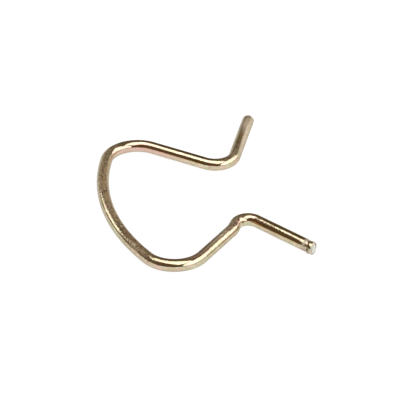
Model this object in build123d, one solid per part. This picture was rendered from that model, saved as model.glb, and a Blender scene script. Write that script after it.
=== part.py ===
from build123d import *
import os
from math import cos, radians, sin

# Spring clip: one length of round spring wire, bent flat into an open loop.
# A shallow back and two round shoulders carry straight legs, which close in to a throat.
# Past the throat the wire turns outward into two straight ends, which guide a tube in.
# X runs from the back to the mouth, Y to the longer end, and Z up from the surface below.
# The origin is on that surface, under the middle of the tube that the loop holds.
# Lengths are millimetres and angles are degrees. Bend radii are those inside the bend.

# Wire
wire_diameter = 2.5

# Loop, the same on both sides
back_bend_radius = 48.5
back_half_turn = 22.25
shoulder_bend_radius = 5.1
leg_slope = 43.8

# Longer side, toward +Y
long_leg_length = 12.6
long_neck_bend_radius = 2.9
long_end_slope = 64
long_end_length = 15.4
long_cut_slant = 9

# Shorter side, toward -Y, where the leg is cranked just before its tight neck
short_leg_length = 10.8
crank_bend_radius = 1.5
crank_turn = 13
crank_length = 1.9
short_neck_bend_radius = 1.3
short_end_slope = 56.6
short_end_length = 14.5
short_cut_slant = 7

# Tool marks just short of the tight neck, where the bending pin and the holding jaw pinched the wire
pinch_setback = 0.55
pin_radius = 1.4
pin_mark_depth = 0.3
jaw_edge_radius = 1.2
jaw_nip_depth = 0.35

# Sheared ends: the edges that the cuts leave, and the ring pressed in by the shear's guide
long_edge_break = 0.3
short_edge_break = 0.2
shear_ring_setback = 1.15
shear_ring_depth = 0.1
shear_ring_section_radius = 0.3

wire_radius = wire_diameter / 2


def straight(before, length):
    """A straight run that carries on from the end of the run before it."""
    return Line(before @ 1, before @ 1 + (before % 1) * length)


def bend(before, inside_radius, turn):
    """A bend that carries on from the run before it. A positive turn is to the left."""
    return JernArc(before @ 1, before % 1, inside_radius + wire_radius, turn)


def loop_side(side):
    """Half of the back and one shoulder. Side is 1 toward +Y and -1 toward -Y."""
    back = JernArc((0, 0), (0, side), back_bend_radius + wire_radius, -side * back_half_turn)
    shoulder_turn = 90 - back_half_turn + leg_slope
    return back, bend(back, shoulder_bend_radius, -side * shoulder_turn)


def shear(wire, end, slant, edge_break):
    """Cuts the wire off across the tip of an end and rounds the edge of the cut face."""
    outward = (end % 1).rotate(Axis.Z, slant)
    plane = Plane(origin=end @ 1, x_dir=(0, 0, 1), z_dir=outward)
    past_the_cut = (Align.CENTER, Align.CENTER, Align.MIN)
    wire = wire - plane * Cylinder(wire_diameter, wire_diameter, align=past_the_cut)
    cut_face = wire.faces().sort_by_distance(end @ 1)[0]
    return fillet(cut_face.edges(), edge_break)


def shear_ring(end):
    """The shallow ring that goes round the wire, a little way back from its tip."""
    centre = end @ 1 - (end % 1) * shear_ring_setback
    ring_radius = wire_radius + shear_ring_section_radius - shear_ring_depth
    return Plane(origin=centre, z_dir=end % 1) * Torus(ring_radius, shear_ring_section_radius)


# Middle line of the wire, from the middle of the back out to each tip
long_back, long_shoulder = loop_side(1)
long_leg = straight(long_shoulder, long_leg_length)
long_neck = bend(long_leg, long_neck_bend_radius, leg_slope + long_end_slope)
long_end = straight(long_neck, long_end_length)

short_back, short_shoulder = loop_side(-1)
short_leg = straight(short_shoulder, short_leg_length)
crank = bend(short_leg, crank_bend_radius, crank_turn)
crank_run = straight(crank, crank_length)
short_neck_turn = leg_slope + crank_turn + short_end_slope
short_neck = bend(crank_run, short_neck_bend_radius, -short_neck_turn)
short_end = straight(short_neck, short_end_length)

# Round wire along that line, drawn past each tip so that the slanted cuts go right through it
long_side = [long_back, long_shoulder, long_leg, long_neck, long_end]
short_side = [short_back, short_shoulder, short_leg, crank, crank_run, short_neck, short_end]
long_side.append(straight(long_end, wire_radius))
short_side.append(straight(short_end, wire_radius))
runs = long_side[::-1] + short_side
middle_line = Wire([edge for run in runs for edge in run.edges()])
section = Plane(origin=middle_line @ 0, z_dir=middle_line % 0) * Circle(wire_radius)
clip = sweep(section, path=middle_line)

# Ends
clip = shear(clip, long_end, long_cut_slant, long_edge_break)
clip = shear(clip, short_end, short_cut_slant, short_edge_break)
clip = clip - shear_ring(short_end)

# Tool marks: the pin stood on the inside of the tight neck, and the jaw on the loop's side
pinched = short_neck @ 0 - (short_neck % 0) * pinch_setback
loopward = (short_neck @ 0 - short_neck.arc_center).normalized()
pin_centre = pinched - loopward * (wire_radius + pin_radius - pin_mark_depth)
jaw_centre = pinched + loopward * (wire_radius + jaw_edge_radius - jaw_nip_depth)
pin = Pos(pin_centre) * Cylinder(pin_radius, 2 * wire_diameter)
jaw_edge = Pos(jaw_centre) * Cylinder(jaw_edge_radius, 2 * wire_diameter)
clip = clip - pin - jaw_edge

# Place: a tube in the loop touches the back and both legs, so its middle is as far from each
leg_outward = Vector(sin(radians(leg_slope)), cos(radians(leg_slope)))
back_to_middle = (long_leg @ 0).dot(leg_outward) / (1 + sin(radians(leg_slope)))
clip = Pos(-back_to_middle, 0, wire_radius) * clip

os.makedirs("parts", exist_ok=True)
export_step(clip, "parts/spring_clip.step")
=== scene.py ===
from math import atan2, cos, degrees, exp, pi, radians, sin

import bmesh
import bpy
from mathutils import Matrix, Vector, noise


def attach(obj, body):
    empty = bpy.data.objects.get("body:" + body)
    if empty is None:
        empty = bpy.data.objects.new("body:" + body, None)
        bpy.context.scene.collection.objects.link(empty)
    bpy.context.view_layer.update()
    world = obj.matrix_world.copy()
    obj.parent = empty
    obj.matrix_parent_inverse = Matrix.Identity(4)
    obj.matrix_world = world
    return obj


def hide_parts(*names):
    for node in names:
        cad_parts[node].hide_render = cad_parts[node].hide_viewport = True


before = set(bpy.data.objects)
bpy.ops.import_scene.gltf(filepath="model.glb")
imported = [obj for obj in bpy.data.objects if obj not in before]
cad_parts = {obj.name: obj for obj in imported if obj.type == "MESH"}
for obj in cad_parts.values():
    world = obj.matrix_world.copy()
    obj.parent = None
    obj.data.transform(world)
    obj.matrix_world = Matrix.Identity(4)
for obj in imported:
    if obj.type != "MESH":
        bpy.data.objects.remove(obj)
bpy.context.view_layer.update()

# The wire: one length of cold-drawn spring steel, round and 2.5 mm thick. It is bent flat round
# pins, from the middle of the back out to each tip, and both of its ends are sheared off.
# Bends are sized on the wire's middle line, and turns, slopes and slants are in degrees.
mm = 0.001
wire_radius = 1.25 * mm
points_around = 64

back_bend = 49.75 * mm
back_half_turn = 22.25
shoulder_bend = 6.35 * mm
leg_slope = 43.8
shoulder_turn = 90 - back_half_turn + leg_slope

long_leg = 12.6 * mm
long_neck_bend = 4.15 * mm
long_end_slope = 64
long_neck_turn = leg_slope + long_end_slope
long_end = 15.4 * mm
long_cut_slant = 9
long_edge_break = 0.33 * mm

short_leg = 10.8 * mm
crank_bend = 2.75 * mm
crank_turn = 13
crank_run = 1.9 * mm
short_neck_bend = 2.55 * mm
short_end_slope = 56.6
short_neck_turn = leg_slope + crank_turn + short_end_slope
short_end = 14.5 * mm
short_cut_slant = 7
short_edge_break = 0.22 * mm

# Each end is drawn past the place where it is cut, and has closer rings near its tip.
tip_band = 1.75 * mm
tip_margin = 0.55 * mm

wire = bmesh.new()
on_straight_wire = wire.verts.layers.float_vector.new("straight_wire")


class OpenEnd:
    """The open end of the wire as it is drawn out from the middle of the back.

    Each point keeps its place on the straight wire, in millimetres: how far along it is from the
    middle of the back, and how far to the left and up from the middle line.
    """

    def __init__(self, ring, middle, side):
        self.ring = ring
        self.middle = middle
        self.heading = Vector((0, side, 0))
        self.side = side
        self.along = 0

    def left(self):
        return Vector((-self.heading.y, self.heading.x, 0))

    def draw(self, rings, centre, turn, step, length_to):
        """Draws rings of wire. length_to gives the length of wire from the last ring to a point."""
        before = set(wire.verts)
        made = bmesh.ops.spin(
            wire, geom=self.ring, cent=centre, axis=(0, 0, 1), angle=turn, dvec=step, steps=rings
        )
        self.ring = [edge for edge in made["geom_last"] if isinstance(edge, bmesh.types.BMEdge)]
        for vert in set(wire.verts) - before:
            along = self.along + self.side * length_to(vert.co) / mm
            vert[on_straight_wire] = Vector((along, *vert[on_straight_wire].yz))

    def straight(self, length, rings):
        def length_to(point):
            return (point - self.middle).dot(self.heading)

        self.draw(rings, self.middle, 0, self.heading * length / rings, length_to)
        self.middle = self.middle + self.heading * length
        self.along += self.side * length / mm

    def bend(self, radius, turn, rings):
        """A positive turn, in degrees, is to the left. Gives the middle of the bend."""
        centre = self.middle + self.left() * (radius if turn > 0 else -radius)
        spoke = (self.middle - centre).xy

        def length_to(point):
            return radius * spoke.angle((point - centre).xy)

        self.draw(rings, centre, radians(turn), (0, 0, 0), length_to)
        turned = Matrix.Rotation(radians(turn), 3, "Z")
        self.middle = centre + turned @ (self.middle - centre)
        self.heading = turned @ self.heading
        self.along += self.side * radius * abs(radians(turn)) / mm
        return centre

    def sheared(self, slant, edge_break):
        """Cuts the wire off across its tip, closes it, and rounds the edge of the cut."""
        tip = self.middle - self.heading * tip_margin
        tip_along = self.along - self.side * tip_margin / mm

        def near_tip(point):
            back_from_tip = (tip - point).dot(self.heading)
            return (point - tip).length < 3 * wire_radius and back_from_tip < 1.1 * tip_margin

        verts = [vert for vert in wire.verts if near_tip(vert.co)]
        edges = {edge for vert in verts for edge in vert.link_edges}
        faces = {face for vert in verts for face in vert.link_faces}
        outward = Matrix.Rotation(radians(slant), 3, "Z") @ self.heading
        cut = bmesh.ops.bisect_plane(
            wire, geom=[*verts, *edges, *faces], plane_co=tip, plane_no=outward, clear_outer=True
        )
        rim = [edge for edge in cut["geom_cut"] if isinstance(edge, bmesh.types.BMEdge)]
        bmesh.ops.contextual_create(wire, geom=rim)
        bmesh.ops.bevel(
            wire, geom=rim, offset=edge_break, offset_type="OFFSET", segments=6, profile=0.5,
            affect="EDGES", material=-1,
        )

        # Rings on the cut face carry its rim, its hollow and its painted shade.
        caps = [face for face in wire.faces if len(face.verts) == points_around]
        cut_face = [face for face in caps if near_tip(face.calc_center_median())]
        for ring_width in (0.06 * mm, 0.2 * mm, 0.2 * mm, 0.2 * mm):
            bmesh.ops.inset_region(wire, faces=cut_face, thickness=ring_width)
        bmesh.ops.poke(wire, faces=cut_face)

        leftward = self.left() * self.side
        for vert in wire.verts:
            if near_tip(vert.co):
                out = (vert.co - tip) / mm
                along = tip_along + self.side * out.dot(self.heading)
                vert[on_straight_wire] = Vector((along, out.dot(leftward), out.z))
        return tip_along


# The back stands as far from the tube's middle as the legs do, and that middle is the origin.
half_turn = radians(back_half_turn)
slope = radians(leg_slope)
back_centre_to_shoulder = back_bend - shoulder_bend
toward_shoulder = Vector((-cos(half_turn), sin(half_turn)))
shoulder_middle = Vector((back_bend, 0)) + back_centre_to_shoulder * toward_shoulder
leg_outward = Vector((sin(slope), cos(slope)))
back_to_tube = (shoulder_middle.dot(leg_outward) + shoulder_bend) / (1 + sin(slope))
back_middle = Vector((-back_to_tube, 0, wire_radius))

upright = Matrix.Translation(back_middle) @ Matrix.Rotation(radians(90), 4, "X")
made = bmesh.ops.create_circle(wire, segments=points_around, radius=wire_radius, matrix=upright)
for vert in made["verts"]:
    out = (vert.co - back_middle) / mm
    vert[on_straight_wire] = Vector((0, -out.x, out.z))
first_ring = list({edge for vert in made["verts"] for edge in vert.link_edges})

long_side = OpenEnd(first_ring, back_middle, 1)
long_side.bend(back_bend, -back_half_turn, rings=44)
long_side.bend(shoulder_bend, -shoulder_turn, rings=44)
long_side.straight(long_leg, rings=28)
long_side.bend(long_neck_bend, long_neck_turn, rings=44)
long_side.straight(long_end - tip_band, rings=28)
long_side.straight(tip_band - tip_margin, rings=16)
long_side.straight(2 * tip_margin, rings=1)

short_side = OpenEnd(first_ring, back_middle, -1)
short_side.bend(back_bend, back_half_turn, rings=44)
short_side.bend(shoulder_bend, shoulder_turn, rings=44)
short_side.straight(short_leg, rings=24)
short_side.bend(crank_bend, crank_turn, rings=12)
crank_along = short_side.along
short_side.straight(crank_run, rings=30)
neck_start = short_side.middle
before_neck = short_side.heading
pin_middle = short_side.bend(short_neck_bend, -short_neck_turn, rings=64)
short_side.straight(short_end - tip_band, rings=28)
short_side.straight(tip_band - tip_margin, rings=30)
short_side.straight(2 * tip_margin, rings=1)
long_tip = long_side.sheared(long_cut_slant, long_edge_break)
short_tip = short_side.sheared(short_cut_slant, short_edge_break)

bmesh.ops.recalc_face_normals(wire, faces=wire.faces)
wire.normal_update()


# Tool marks: the bending pin and the holding jaw have pinched the wire between them just short of
# the tight neck. The shear has left a ring, a burr and a chipped edge.
pinch_setback = 0.55 * mm
pin_radius = 1.4 * mm
pin_mark_depth = 0.3 * mm
jaw_edge_radius = 1.2 * mm
jaw_nip_depth = 0.35 * mm
pinched = neck_start - before_neck * pinch_setback
loopward = (neck_start - pin_middle).normalized()


def pressed(tool_middle, tool_radius):
    """Moves the steel out of an upright round tool's way."""
    for vert in wire.verts:
        away = (vert.co - tool_middle) * Vector((1, 1, 0))
        if away.length < tool_radius:
            vert.co += away.normalized() * (tool_radius - away.length)


pressed(pinched - loopward * (wire_radius + pin_radius - pin_mark_depth), pin_radius)
pressed(pinched + loopward * (wire_radius + jaw_edge_radius - jaw_nip_depth), jaw_edge_radius)

# Each mark lies along and around the wire, from the middle of the back and from straight up. Then
# come its half length, half width and height. Lengths are millimetres, and angles are degrees.
all_round = 1000
marks = {
    "guide_ring": (short_tip + 1.15, 0, 0.22, all_round, -0.09),
    "rub_beside_the_ring": (short_tip + 1.7, 20, 0.4, 80, -0.04),
    "burr": (short_tip + 0.75, 130, 0.2, 15, 0.13),
    "chipped_edge": (long_tip - 0.1, -50, 0.35, 22, -0.1),
    "jaw_corner": (crank_along - 1.2, 20, 0.12, 90, -0.04),
}


def nearness(place, mark):
    """One at the middle of a mark, and nothing well away from it."""
    along, around, half_length, half_width = mark
    turn = (degrees(atan2(place.y, place.z)) - around + 180) % 360 - 180
    return exp(-(((place.x - along) / half_length) ** 2) - (turn / half_width) ** 2)


# Slow waves from drawing, in millimetres. They lie nearly all below the surface, so that the wire
# keeps its thickness.
wave_height = 0.006
waves_below = 0.6
wave_stretch = 0.35
wire.normal_update()
outward = {vert: vert.normal.copy() for vert in wire.verts}
for vert in wire.verts:
    place = vert[on_straight_wire]
    height = sum(mark[4] * nearness(place, mark[:4]) for mark in marks.values())
    waves = noise.noise(Vector((place.x * wave_stretch, place.y, place.z))) - waves_below
    vert.co += outward[vert] * (height + wave_height * waves) * mm

# The cut of the shorter end leans out at its foot, and its face is a little hollow. What starts or
# reaches somewhere is in millimetres from the tip or from the middle line of the straight wire.
foot_lean = 0.28 * mm
lean_starts = 0.8
hollow_depth = 0.07 * mm
hollow_radius = 0.9
hollow_starts = 0.4
for vert in wire.verts:
    place = vert[on_straight_wire]
    near_cut = max(0, 1 - (place.x - short_tip) / lean_starts)
    foot = max(0, -place.z * mm / wire_radius)
    vert.co += short_side.heading * foot_lean * min(1, near_cut) * foot ** 2
    if place.x < short_tip + hollow_starts and place.yz.length < hollow_radius:
        vert.co -= short_side.heading * hollow_depth

# The finish: zinc plate under a clear yellow passivate. The film is thicker in some places than
# in others, which tints it rose, green or amber, and bends and tools have dulled it.
# A patch is given as a mark is, with its strength in the place of the height.
tints = {
    "rose": [
        (22, -75, 4, 40, 0.5),
        (29.5, -80, 5, 50, 1.0),
        (36, -85, 4, 40, 0.5),
        (-22, 100, 6, 40, 0.3),
        (-44, 30, 3, 25, 0.6),
        (-50, 55, 2, 14, 0.9),
        (short_tip + 1.5, 105, 0.8, 25, 0.7),
    ],
    "green": [
        (-48.5, 112, 3, 28, 0.9),
        (-31, 105, 3, 40, 0.5),
        (-7, 95, 4, 40, 0.5),
        (22, -15, 5, 18, 0.6),
        (-57, 0, 8, 16, 0.5),
        (-60, -15, 4, 20, 0.4),
        (55, 8, 3, 25, 0.6),
    ],
    "amber": [
        (43, -62, 1.6, 11, 1.0),
        (58.5, -8, 2, 14, 0.8),
        (-51.5, 68, 2, 12, 0.9),
        (-58, 74, 4, 9, 0.6),
    ],
    "dull": [
        (-40, 0, 8, 35, 0.8),
        (-16, 20, 5, 60, 0.8),
        (-6, -5, 5, 35, 0.8),
        (3, -10, 6, 40, 0.9),
        (12, -5, 6, 50, 1.0),
        (21, 0, 5, 30, 0.5),
        (50, 10, 3, 40, 0.5),
        (56, 5, 6, 45, 0.4),
        (65, 0, 4, 60, 0.3),
    ],
    "grey": [
        (38, 20, 10, 20, 1.0),
        # These two are a painted reflection of the shade that the clip casts on the table beside it.
        (-24, -18, 2.5, 12, 0.9),
        (-37, -34, 9, 17, 0.8),
        (61.8, 32, 1.5, 22, 0.6),
        (65.5, 45, 2.5, 35, 0.25),
    ],
    "scuffed": [
        (short_tip + 1.7, 40, 0.4, 75, 0.9),
        (short_tip + 0.9, -35, 0.9, 30, 0.8),
        (58, -38, 8, 18, 0.7),
        (-36, 6, 8, 16, 0.5),
        (-15.5, 27, 0.35, 10, 1.0),
        (-8.5, -3, 0.4, 8, 1.0),
        (-38.5, 8, 0.35, 8, 1.0),
        (-1.5, 5, 0.5, 9, 0.7),
        (64, -3, 4.5, 32, 0.75),
    ],
    # Dark patches near the shorter tip, matt and with no metal in them.
    "dark_spots_and_painted_shade": [
        # Painted shade along the far part of the rim.
        (short_tip, -70, 0.3, 38, 1.0),
        (short_tip, 165, 0.25, 30, 0.6),
        # A painted shadow of the burr.
        (short_tip + 0.85, 135, 0.3, 18, 1.0),
        (short_tip + 0.55, 85, 0.25, 18, 0.9),
        (short_tip + 1.45, 62, 0.15, 10, 0.8),
        (short_tip + 1.5, 110, 0.7, 25, 0.35),
    ],
}
layers = {name: wire.verts.layers.float.new(name) for name in tints}
for name, patches in tints.items():
    for vert in wire.verts:
        near = sum(patch[4] * nearness(vert[on_straight_wire], patch[:4]) for patch in patches)
        vert[layers[name]] = min(1.0, near)

# The plate is gone from the cut faces, and shade is painted on them: dark along the far part of the
# rim, and in the near half of the face, outside its core.
cut_face_radius = 1.02
rim_radius = 0.9
core_radius = 0.5
bare_steel = wire.verts.layers.float.new("bare_steel")
for vert in wire.verts:
    place = vert[on_straight_wire]
    radius = place.yz.length
    if radius < cut_face_radius:
        around = degrees(atan2(place.y, place.z))
        far_part = -110 < around < -20
        near_half = 20 < around < 150
        vert[bare_steel] = 1
        if radius > rim_radius:
            vert[layers["dark_spots_and_painted_shade"]] = 0.9 if far_part else 0.1
        else:
            vert[layers["dark_spots_and_painted_shade"]] = 0.45 if near_half and radius > core_radius else 0.05

for face in wire.faces:
    face.smooth = True
mesh = bpy.data.meshes.new("spring_wire")
wire.to_mesh(mesh)
wire.free()
spring_wire = bpy.data.objects.new("spring_wire", mesh)
bpy.context.scene.collection.objects.link(spring_wire)

finish = bpy.data.materials.new("yellow_passivated_zinc")
finish.use_nodes = True
nodes = finish.node_tree.nodes
links = finish.node_tree.links
nodes.clear()


def feed(sockets, values):
    """Gives each socket its number or colour, or joins it to another node's output."""
    for socket, value in zip(sockets, values):
        if isinstance(value, bpy.types.NodeSocket):
            links.new(value, socket)
        else:
            socket.default_value = value


def node(kind, *inputs, **settings):
    made = nodes.new(kind)
    for name, value in settings.items():
        setattr(made, name, value)
    feed([socket for socket in made.inputs if socket.enabled], inputs)
    return made


def attribute(name):
    return node("ShaderNodeAttribute", attribute_name=name)


def streaks(place, length, width, detail=2.0):
    """Noise drawn out along the wire, in millimetres."""
    drawn = node("ShaderNodeMapping", place, (0, 0, 0), (0, 0, 0), (1 / length, 1 / width, 1 / width))
    return node("ShaderNodeTexNoise", drawn.outputs[0], 1.0, detail).outputs[0]


def mixed(share, first, second):
    made = nodes.new("ShaderNodeMix")
    made.data_type = "RGBA"
    feed((made.inputs["Factor"], made.inputs[6], made.inputs[7]), (share, first, second))
    return made.outputs[2]


def remap(value, low, high, new_low, new_high):
    return node("ShaderNodeMapRange", value, low, high, new_low, new_high).outputs[0]


def worked(operation, first, second):
    return node("ShaderNodeMath", first, second, operation=operation).outputs[0]


place = attribute("straight_wire").outputs["Vector"]
drawn_lines = streaks(place, 5, 0.07)
mottle = streaks(place, 0.5, 0.35, 3)
clouds = streaks(place, 3, 1.2)

straw = (0.75, 0.67, 0.50, 1)
dark_straw = (0.50, 0.42, 0.28, 1)
brown = (0.40, 0.285, 0.15, 1)
tint_colours = {
    "green": (0.55, 0.56, 0.36, 1),
    "rose": (0.68, 0.46, 0.39, 1),
    "amber": (0.52, 0.32, 0.11, 1),
    "grey": (0.30, 0.31, 0.27, 1),
    "scuffed": (0.72, 0.62, 0.48, 1),
    "bare_steel": (0.74, 0.74, 0.66, 1),
    # Near black: the dark spots and the painted shade.
    "dark_spots_and_painted_shade": (0.035, 0.03, 0.02, 1),
}
film = streaks(place, 0.7, 1.5)
bright_roughness = 0.08
dull_roughness = 0.5
dull_metallic = 0.4
edge_tint = (0.6, 0.6, 0.56, 1)
relief_depth = 0.1 * mm

# Colour: straw with darker clouds, rose and green bands of film, specks, then the patches and painted
# shade.
dullness = worked("MULTIPLY", attribute("dull").outputs["Fac"], remap(mottle, 0.38, 0.6, 0.1, 1))
colour = mixed(remap(clouds, 0.42, 0.65, 0, 1), straw, dark_straw)
colour = mixed(remap(film, 0.4, 0.5, 0.6, 0), colour, tint_colours["rose"])
colour = mixed(remap(film, 0.5, 0.6, 0, 0.9), colour, tint_colours["green"])
colour = mixed(remap(mottle, 0.45, 0.62, 0, 0.8), colour, dark_straw)
colour = mixed(dullness, colour, brown)
for name, tint in tint_colours.items():
    colour = mixed(attribute(name).outputs["Fac"], colour, tint)

# Gloss: dull and scuffed places are matt, and the dark spots and painted shade have no metal in them.
roughened = worked("MAXIMUM", dullness, attribute("scuffed").outputs["Fac"])
roughness = remap(roughened, 0, 1, bright_roughness, dull_roughness)
metallic = remap(roughened, 0, 1, 1, dull_metallic)
metallic = worked("MULTIPLY", metallic, remap(attribute("dark_spots_and_painted_shade").outputs["Fac"], 0, 1, 1, 0))
roughness = worked("MAXIMUM", roughness, attribute("dark_spots_and_painted_shade").outputs["Fac"])

# Relief: fine dents where the finish is dull, and faint lines from the drawing die.
dents = worked("MULTIPLY", mottle, remap(attribute("dull").outputs["Fac"], 0, 1, 0.12, 1))
relief = worked("ADD", dents, worked("MULTIPLY", drawn_lines, 0.04))

shader = nodes.new("ShaderNodeBsdfPrincipled")
output = nodes.new("ShaderNodeOutputMaterial")
bump = nodes.new("ShaderNodeBump")
bump.inputs["Strength"].default_value = 1
bump.inputs["Distance"].default_value = relief_depth
links.new(relief, bump.inputs["Height"])
links.new(bump.outputs[0], shader.inputs["Normal"])
links.new(shader.outputs[0], output.inputs[0])
links.new(colour, shader.inputs["Base Color"])
links.new(roughness, shader.inputs["Roughness"])
links.new(metallic, shader.inputs["Metallic"])
shader.inputs["Specular Tint"].default_value = edge_tint
mesh.materials.append(finish)

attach(spring_wire, "root")
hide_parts("spring_clip")

# The table: a plain white board that the clip lies on. It glows, as a light table does, so the clip
# throws next to no shadow.
table_reach = 3
table_mesh = bmesh.new()
bmesh.ops.create_grid(table_mesh, x_segments=1, y_segments=1, size=table_reach)
board = bpy.data.meshes.new("white_board")
table_mesh.to_mesh(board)
table_mesh.free()
white_board = bpy.data.objects.new("white_board", board)
bpy.context.scene.collection.objects.link(white_board)
board_finish = bpy.data.materials.new("white_board")
board_finish.use_nodes = True
board_shader = board_finish.node_tree.nodes["Principled BSDF"]
board_shader.inputs["Base Color"].default_value = (0.15, 0.15, 0.15, 1)
board_shader.inputs["Roughness"].default_value = 0.9
board_shader.inputs["Specular IOR Level"].default_value = 0
board_shader.inputs["Emission Color"].default_value = (1, 1, 1, 1)
board_shader.inputs["Emission Strength"].default_value = 0.92
board.materials.append(board_finish)

# The camera: a long lens, which looks down at the clip from the side of its mouth at the angle of
# the photograph.
view_azimuth = radians(-14.28)
view_elevation = radians(32.33)
view_distance = 418.5 * mm
aim = Vector((3.82, -1.30, 1.34)) * mm


def direction(azimuth, elevation):
    """From the clip outward. Azimuth is from the camera's own side, and is positive to its right."""
    turn = azimuth + view_azimuth
    return Vector((sin(turn) * cos(elevation), -cos(turn) * cos(elevation), sin(elevation)))


camera = bpy.data.objects.new("camera", bpy.data.cameras.new("camera"))
camera.data.sensor_width = 36
camera.data.lens = 187.94
camera.data.clip_start = 0.01
camera.data.clip_end = 20
camera.location = aim + direction(0, view_elevation) * view_distance
camera.rotation_euler = (-direction(0, view_elevation)).to_track_quat("-Z", "Y").to_euler()
bpy.context.scene.collection.objects.link(camera)
bpy.context.scene.camera = camera


# The light: one soft box overhead, a wide one on the right above a dim card, and a small one with
# its own card at the left back, in a dim brown room.
def soft_box(name, place, azimuth, tilt, width, height, brightness):
    """Place is how far it stands to the right, toward the camera and up, in metres.

    Its back faces the azimuth and the tilt, in degrees.
    """
    light = bpy.data.lights.new(name, "AREA")
    light.shape = "RECTANGLE"
    light.size = width
    light.size_y = height
    light.energy = brightness * width * height * pi
    box = bpy.data.objects.new(name, light)
    right, near, up = place
    box.location = direction(radians(90), 0) * right + direction(0, 0) * near + Vector((0, 0, up))
    facing = direction(radians(azimuth), radians(tilt))
    box.rotation_euler = facing.to_track_quat("Z", "Y").to_euler()
    bpy.context.scene.collection.objects.link(box)


soft_box("overhead_soft_box", (-0.031, 0.151, 0.7), -40, 89.5, 1.03, 0.58, 2.2)
soft_box("right_soft_box", (0.7, 0.487, 0.58), 90, 0, 2.015, 0.76, 2.05)
soft_box("right_card", (0.72, -0.19, 0.16), 90, 0, 2.25, 0.32, 0.65)
soft_box("left_back_soft_box", (-0.62, -0.5, 0.3), -128, 0, 0.34, 0.29, 2.1)
soft_box("left_back_card", (-0.35, -0.83, 0.155), -155, 0, 0.25, 0.31, 0.5)

room = bpy.data.worlds.new("dim_room")
bpy.context.scene.world = room
room.use_nodes = True
room_nodes = room.node_tree.nodes
room_nodes["Background"].inputs[0].default_value = (0.14, 0.088, 0.045, 1)
room_nodes["Background"].inputs[1].default_value = 1

bpy.context.scene.view_settings.view_transform = "Standard"
